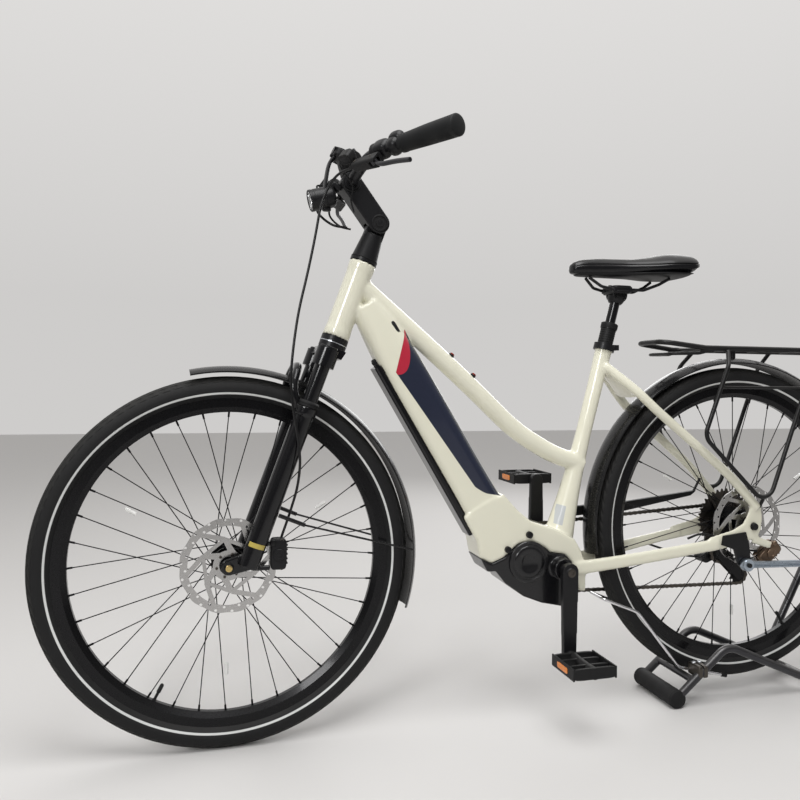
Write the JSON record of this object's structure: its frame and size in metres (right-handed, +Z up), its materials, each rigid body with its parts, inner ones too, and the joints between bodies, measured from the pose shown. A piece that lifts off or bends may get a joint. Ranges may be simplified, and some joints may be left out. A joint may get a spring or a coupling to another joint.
{
  "type": "bicycle on stand",
  "caption": "Step-through touring bicycle with mid-mounted drive motor, disc brakes, sprung fork, fenders and luggage rack, its rear wheel held in a tubular display stand.",
  "frame": {"origin": "on the floor, under the middle of the whole object's length and width", "axes": "+X to the bicycle's rear, +Y to its right, +Z up; the camera side is the left side, -Y"},
  "size_m": [1.9181, 0.6792, 1.1675],
  "materials": {
    "frame_paint": "glossy pale cream paint",
    "black_aluminium": "satin black anodised or painted",
    "silver_aluminium": "satin silver",
    "black_plastic": "fine-grained black",
    "gloss_black_plastic": "smooth black",
    "lever_grey": "satin dark grey",
    "sprocket_steel": "dark, oiled",
    "rotor_steel": "bright, finely brushed",
    "spoke_steel": "black coated",
    "tyre_rubber": "black with a pale reflective line",
    "grip_rubber": "soft black",
    "hose_rubber": "smooth black",
    "saddle_skin": "smooth black synthetic leather",
    "stand_paint": "dark metallic grey",
    "bright_wire": "bright plated"
  },
  "bodies": {
    "stand": {"stand_frame": "stand_paint", "stand_foot_sleeve": "black_plastic", "stand_wire_guard": "bright_wire"},
    "frame": {"head_tube": "frame_paint", "top_tube": "frame_paint", "down_tube": "frame_paint", "seat_tube": "frame_paint", "motor_carrier": "frame_paint", "rear_triangle": "frame_paint", "motor_housing": "black_aluminium", "motor_cover": "black_plastic", "battery": "black_plastic", "headset_cups": "black_aluminium", "frame_fittings": "silver_aluminium", "rear_fender": "gloss_black_plastic", "rear_rack": "black_aluminium", "rear_caliper": "black_aluminium", "rear_axle": "black_aluminium", "derailleur": "black_plastic", "chain": "sprocket_steel", "chain_guard": "black_plastic", "cable_housings": "hose_rubber"},
    "steering": {"fork_upper": "black_aluminium", "stem_base": "black_aluminium", "front_brake_hose": "hose_rubber"},
    "bar": {"stem_arm": "black_aluminium", "handlebar": "black_aluminium", "grips": "grip_rubber", "bar_controls": "black_plastic", "display": "black_plastic", "headlamp": "black_plastic"},
    "brake_lever_left": {"brake_lever_left": "lever_grey"},
    "brake_lever_right": {"brake_lever_right": "lever_grey"},
    "fork_slider": {"fork_lowers": "black_aluminium", "front_axle": "black_aluminium", "front_fender": "gloss_black_plastic", "front_caliper": "black_aluminium"},
    "front_wheel": {"front_tyre": "tyre_rubber", "front_rim": "black_aluminium", "front_spokes": "spoke_steel", "front_hub": "black_aluminium", "front_rotor": "rotor_steel"},
    "rear_wheel": {"rear_tyre": "tyre_rubber", "rear_rim": "black_aluminium", "rear_spokes": "spoke_steel", "rear_hub": "black_aluminium", "rear_rotor": "rotor_steel"},
    "cassette": {"cassette": "sprocket_steel"},
    "crankset": {"cranks": "black_aluminium", "chainring": "sprocket_steel"},
    "pedal_left": {"pedal_left": "black_plastic"},
    "pedal_right": {"pedal_right": "black_plastic"},
    "guide_pulley": {"guide_pulley": "black_plastic"},
    "tension_pulley": {"tension_pulley": "black_plastic"},
    "seat_post": {"seatpost_outer": "black_aluminium"},
    "seat_plunger": {"seatpost_plunger": "black_aluminium"},
    "saddle": {"saddle_cover": "saddle_skin", "saddle_shell": "black_plastic", "saddle_rails": "spoke_steel"},
    "kickstand": {"kickstand": "silver_aluminium"}
  },
  "joints": [
    {"name": "lift_from_stand", "type": "slide", "parent": "stand", "child": "frame", "axis": [0, 0, 1], "range_m": [0, 0.25]},
    {"name": "steering", "type": "hinge", "parent": "frame", "child": "steering", "pos_m": [-0.35654, 0, 0.90495], "axis": [0.3387, 0, 0.9409], "range_deg": [-70, 70]},
    {"name": "fork_travel", "type": "slide", "parent": "steering", "child": "fork_slider", "axis": [0.3387, 0, 0.9409], "range_m": [0, 0.05], "stiffness_N_per_m": 6000, "springref_m": -0.025, "deforming": ["front_brake_hose"]},
    {"name": "front_wheel_spin", "type": "hinge", "parent": "fork_slider", "child": "front_wheel", "pos_m": [-0.60306, 0, 0.356], "axis": [0, 1, 0], "continuous": true},
    {"name": "stem_angle", "type": "hinge", "parent": "steering", "child": "bar", "pos_m": [-0.31419, 0, 1.02256], "axis": [0, 1, 0], "range_deg": [-12, 20], "deforming": ["front_brake_hose"]},
    {"name": "brake_lever_left_pull", "type": "hinge", "parent": "bar", "child": "brake_lever_left", "pos_m": [-0.36261, -0.18339, 1.09809], "axis": [0.6809, 0.3662, -0.6343], "range_deg": [-18, 0], "stiffness_Nm_per_rad": 0.6, "springref_deg": 11.46},
    {"name": "brake_lever_right_pull", "type": "hinge", "parent": "bar", "child": "brake_lever_right", "pos_m": [-0.36261, 0.18339, 1.09809], "axis": [-0.6809, 0.3662, 0.6343], "range_deg": [-18, 0], "stiffness_Nm_per_rad": 0.6, "springref_deg": 11.46},
    {"name": "rear_wheel_spin", "type": "hinge", "parent": "frame", "child": "rear_wheel", "pos_m": [0.54034, 0, 0.3893], "axis": [0, 1, 0], "continuous": true},
    {"name": "crank_spin", "type": "hinge", "parent": "frame", "child": "crankset", "pos_m": [0.08244, 0, 0.3152], "axis": [0, 1, 0], "continuous": true},
    {"name": "cassette_spin", "type": "hinge", "parent": "frame", "child": "cassette", "pos_m": [0.54034, 0, 0.3893], "axis": [0, 1, 0], "continuous": true},
    {"name": "pedal_left_spin", "type": "hinge", "parent": "crankset", "child": "pedal_left", "pos_m": [0.08244, -0.13, 0.1452], "axis": [0, 1, 0], "continuous": true},
    {"name": "pedal_right_spin", "type": "hinge", "parent": "crankset", "child": "pedal_right", "pos_m": [0.08244, 0.13, 0.4852], "axis": [0, 1, 0], "continuous": true},
    {"name": "guide_pulley_spin", "type": "hinge", "parent": "frame", "child": "guide_pulley", "pos_m": [0.54694, 0.052, 0.304], "axis": [0, 1, 0], "continuous": true},
    {"name": "tension_pulley_spin", "type": "hinge", "parent": "frame", "child": "tension_pulley", "pos_m": [0.59994, 0.052, 0.25], "axis": [0, 1, 0], "continuous": true},
    {"name": "seat_height", "type": "slide", "parent": "frame", "child": "seat_post", "axis": [0.2521, 0, 0.9677], "range_m": [-0.03, 0.07]},
    {"name": "seat_suspension", "type": "slide", "parent": "seat_post", "child": "seat_plunger", "axis": [0.2521, 0, 0.9677], "range_m": [-0.04, 0], "stiffness_N_per_m": 9000, "springref_m": 0.02},
    {"name": "saddle_tilt", "type": "hinge", "parent": "seat_plunger", "child": "saddle", "pos_m": [0.23507, 0, 0.90115], "axis": [0, 1, 0], "range_deg": [-12, 12]},
    {"name": "kickstand_swing", "type": "hinge", "parent": "frame", "child": "kickstand", "pos_m": [0.51294, -0.087, 0.308], "axis": [0, 1, 0], "range_deg": [0, 95]}
  ],
  "couplings": [
    {"joint": "cassette_spin", "follows": "crank_spin", "ratio": 2.5333},
    {"joint": "guide_pulley_spin", "follows": "crank_spin", "ratio": -3.4545},
    {"joint": "tension_pulley_spin", "follows": "crank_spin", "ratio": 3.4545}
  ]
}
